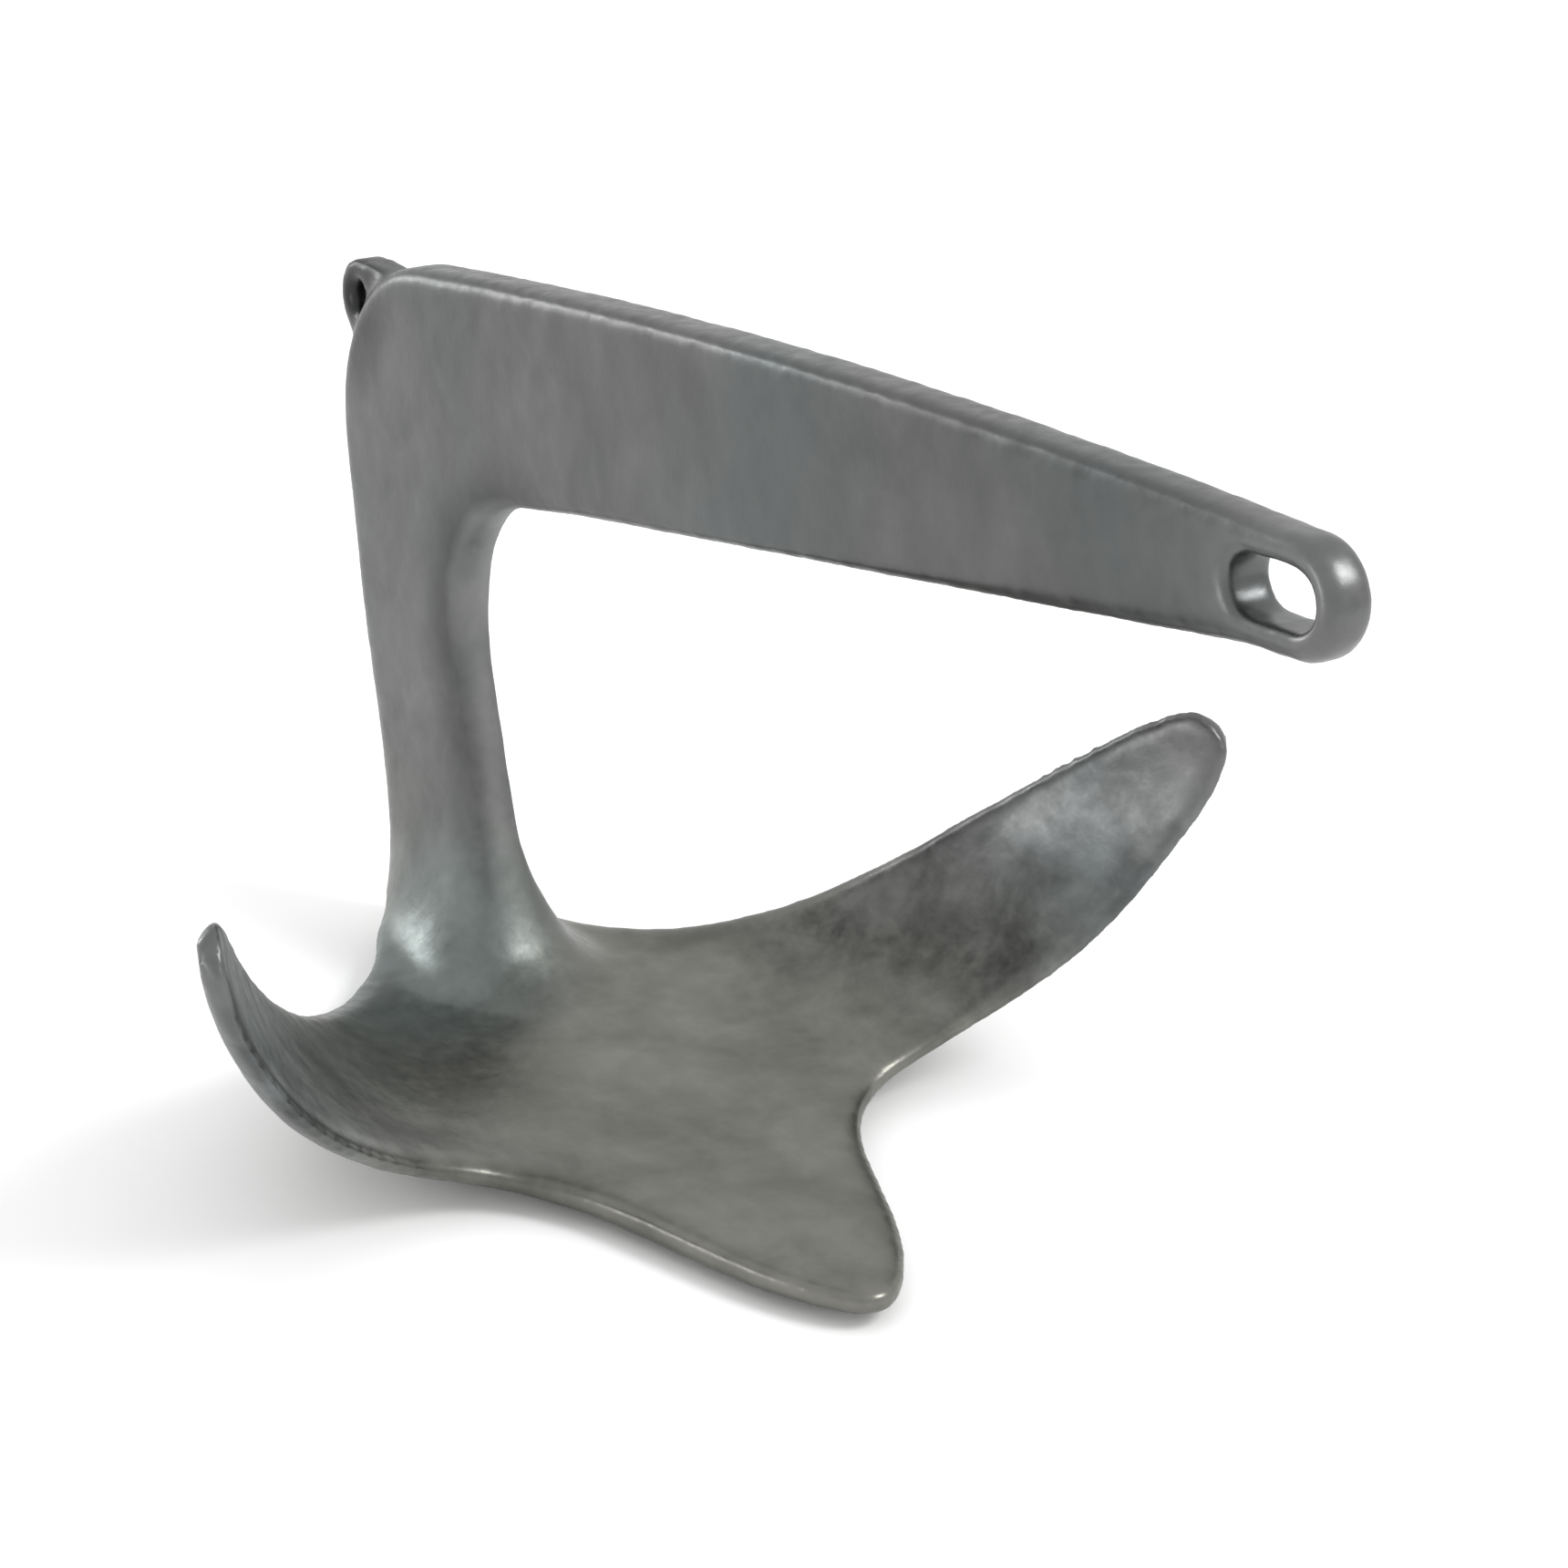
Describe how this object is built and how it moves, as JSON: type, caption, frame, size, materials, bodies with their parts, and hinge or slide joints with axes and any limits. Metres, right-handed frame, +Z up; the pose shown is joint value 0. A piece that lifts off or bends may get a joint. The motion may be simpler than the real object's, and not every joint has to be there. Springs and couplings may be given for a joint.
{
  "type": "claw anchor",
  "caption": "One-piece cast claw anchor: flat palm with a blunt centre fluke and a curved scoop fluke on each side, a flat leg and arm, a slotted shackle eye and a small trip-line ear",
  "frame": {"origin": "on the ground, under the middle of the anchor's length, in its middle plane", "axes": "+X forward, towards the shackle eye and the fluke tips; +Y to the anchor's left-hand fluke when looking forward; +Z up, from the palm's flat underside to the arm"},
  "size_m": [0.5388, 0.3712, 0.3231],
  "materials": {
    "claw_anchor": "hot-dip galvanised casting, dull mid-grey with soft blotches, slightly uneven skin, no paint"
  },
  "bodies": {
    "root": {"claw_anchor": "claw_anchor"}
  },
  "joints": []
}
